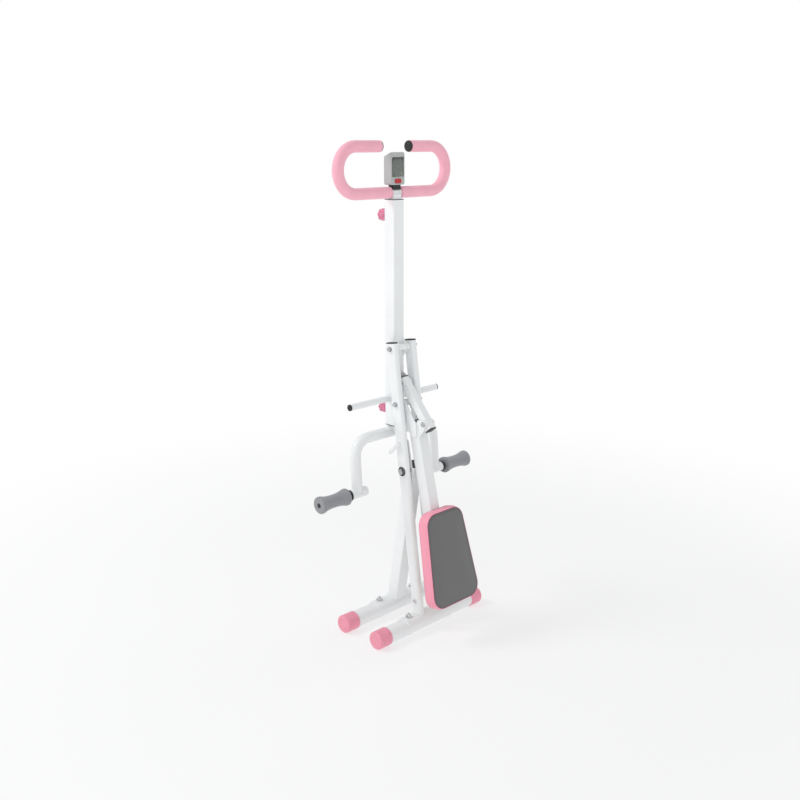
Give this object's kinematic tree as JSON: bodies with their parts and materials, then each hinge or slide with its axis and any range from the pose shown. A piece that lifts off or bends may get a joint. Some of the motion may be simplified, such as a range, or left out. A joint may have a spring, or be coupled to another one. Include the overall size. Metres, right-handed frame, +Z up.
{
  "type": "folding squat trainer",
  "caption": "Folding squat trainer on a scissor frame: swinging seat arm linked to an upright handle post with looped handlebar, foot rollers and counter.",
  "frame": {"origin": "on the floor, at the centre of the bounding box of the folded machine", "axes": "+Z up; +X from the handle post towards the seat; +Y to the right of a user who sits on the seat and faces the handlebar"},
  "size_m": [0.3214, 0.619, 1.4283],
  "materials": {
    "white_paint": "smooth satin powder coat",
    "pink_foot_rubber": "satin moulded rubber",
    "pink_foam": "fine closed-cell foam",
    "pink_plastic": "moulded plastic, slightly glossy",
    "seat_cover": "vinyl cover with stitched seams",
    "plywood": "birch plywood",
    "black_plastic": "moulded plastic",
    "grey_foam": "closed-cell foam",
    "core_plastic": "moulded plastic",
    "chrome_fastener": "plated",
    "zinc_fastener": "zinc plated",
    "axle_steel": "black oxide and plastic hub cap",
    "computer_shell": "fine textured",
    "window": "clear acrylic",
    "display": "liquid crystal panel",
    "circuit_board": "solder mask",
    "cell_jacket": "printed sleeve",
    "red_rubber": "moulded rubber"
  },
  "bodies": {
    "rear_frame": {"rear_foot_tube": "white_paint", "rear_foot_caps": "pink_foot_rubber", "rear_foot_bolts": "chrome_fastener", "rear_saddle": "white_paint", "rear_leg_left": "white_paint", "rear_leg_right": "white_paint", "rear_leg_plugs": "black_plastic", "rear_leg_screws": "chrome_fastener", "pivot_bolts": "zinc_fastener", "pivot_nuts": "zinc_fastener"},
    "lock_lever": {"lock_lever": "white_paint"},
    "front_frame": {"front_foot_tube": "white_paint", "front_foot_caps": "pink_foot_rubber", "front_foot_bolts": "chrome_fastener", "front_saddle": "white_paint", "front_leg": "white_paint", "front_leg_plug": "black_plastic", "frame_pivot_bushes": "black_plastic", "lock_plates": "white_paint"},
    "post": {"handle_post": "white_paint", "post_bushes": "black_plastic", "post_pivot_sleeve": "white_paint", "post_link_ears": "white_paint", "post_link_bolt": "zinc_fastener", "band_bar": "white_paint", "band_bar_caps": "black_plastic"},
    "upper_knob": {"upper_knob": "pink_plastic"},
    "lower_knob": {"lower_knob": "pink_plastic"},
    "handlebar": {"handlebar_stem": "white_paint", "handlebar_tube": "white_paint", "grip_left": "pink_foam", "grip_right": "pink_foam", "grip_plugs": "black_plastic", "computer_bracket": "black_plastic", "computer_front": "computer_shell", "computer_back": "computer_shell", "battery_cover": "computer_shell", "battery_cells": "cell_jacket", "computer_lens": "window", "computer_screen": "display", "computer_board": "circuit_board"},
    "computer_button": {"computer_button": "red_rubber"},
    "pedal_frame": {"pedal_stem": "white_paint", "pedal_tube": "white_paint", "pedal_axles": "axle_steel"},
    "roller_left": {"roller_core_left": "core_plastic", "roller_foam_left": "grey_foam"},
    "roller_right": {"roller_core_right": "core_plastic", "roller_foam_right": "grey_foam"},
    "seat_arm": {"seat_arm_tube": "white_paint", "seat_arm_plugs": "black_plastic", "arm_pivot_bracket": "white_paint", "arm_link_ears": "white_paint", "arm_link_bolt": "zinc_fastener", "seat_plate": "white_paint", "seat_board": "plywood", "seat_pad": "seat_cover", "seat_screws": "zinc_fastener"},
    "link": {"link_tube": "white_paint", "link_plugs": "black_plastic"}
  },
  "joints": [
    {"name": "frame_fold", "type": "hinge", "parent": "rear_frame", "child": "front_frame", "pos_m": [-0.02813, 0, 0.487], "axis": [0, 1, 0], "range_deg": [0, 45]},
    {"name": "lock_lever_turn", "type": "hinge", "parent": "rear_frame", "child": "lock_lever", "pos_m": [-0.03949, -0.04, 0.568], "axis": [0, -1, 0], "continuous": true},
    {"name": "seat_swing", "type": "hinge", "parent": "rear_frame", "child": "seat_arm", "pos_m": [-0.05591, 0, 0.685], "axis": [0, -1, 0], "range_deg": [0, 50]},
    {"name": "post_swing", "type": "hinge", "parent": "rear_frame", "child": "post", "pos_m": [-0.0785, 0, 0.846], "axis": [0, -1, 0], "range_deg": [-21, 0]},
    {"name": "link_swing", "type": "hinge", "parent": "seat_arm", "child": "link", "pos_m": [0.0285, 0, 0.636], "axis": [0, -1, 0], "range_deg": [-10, 0]},
    {"name": "handlebar_height", "type": "slide", "parent": "post", "child": "handlebar", "axis": [0, 0, 1], "range_m": [0, 0.15]},
    {"name": "pedal_height", "type": "slide", "parent": "post", "child": "pedal_frame", "axis": [0, 0, -1], "range_m": [0, 0.03]},
    {"name": "upper_knob_turn", "type": "hinge", "parent": "post", "child": "upper_knob", "pos_m": [-0.1585, 0, 1.222], "axis": [-1, 0, 0], "continuous": true},
    {"name": "lower_knob_turn", "type": "hinge", "parent": "post", "child": "lower_knob", "pos_m": [-0.1585, 0, 0.653], "axis": [-1, 0, 0], "continuous": true},
    {"name": "roller_left_spin", "type": "hinge", "parent": "pedal_frame", "child": "roller_left", "pos_m": [-0.0975, -0.26, 0.431], "axis": [0, 1, 0], "continuous": true},
    {"name": "roller_right_spin", "type": "hinge", "parent": "pedal_frame", "child": "roller_right", "pos_m": [-0.0975, 0.26, 0.431], "axis": [0, 1, 0], "continuous": true},
    {"name": "computer_button_press", "type": "slide", "parent": "handlebar", "child": "computer_button", "axis": [-1, 0, 0], "range_m": [0, 0.0015], "stiffness_N_per_m": 400}
  ],
  "couplings": [
    {"joint": "post_swing", "follows": "seat_swing", "ratio": -0.415},
    {"joint": "link_swing", "follows": "seat_swing", "ratio": -0.195}
  ]
}
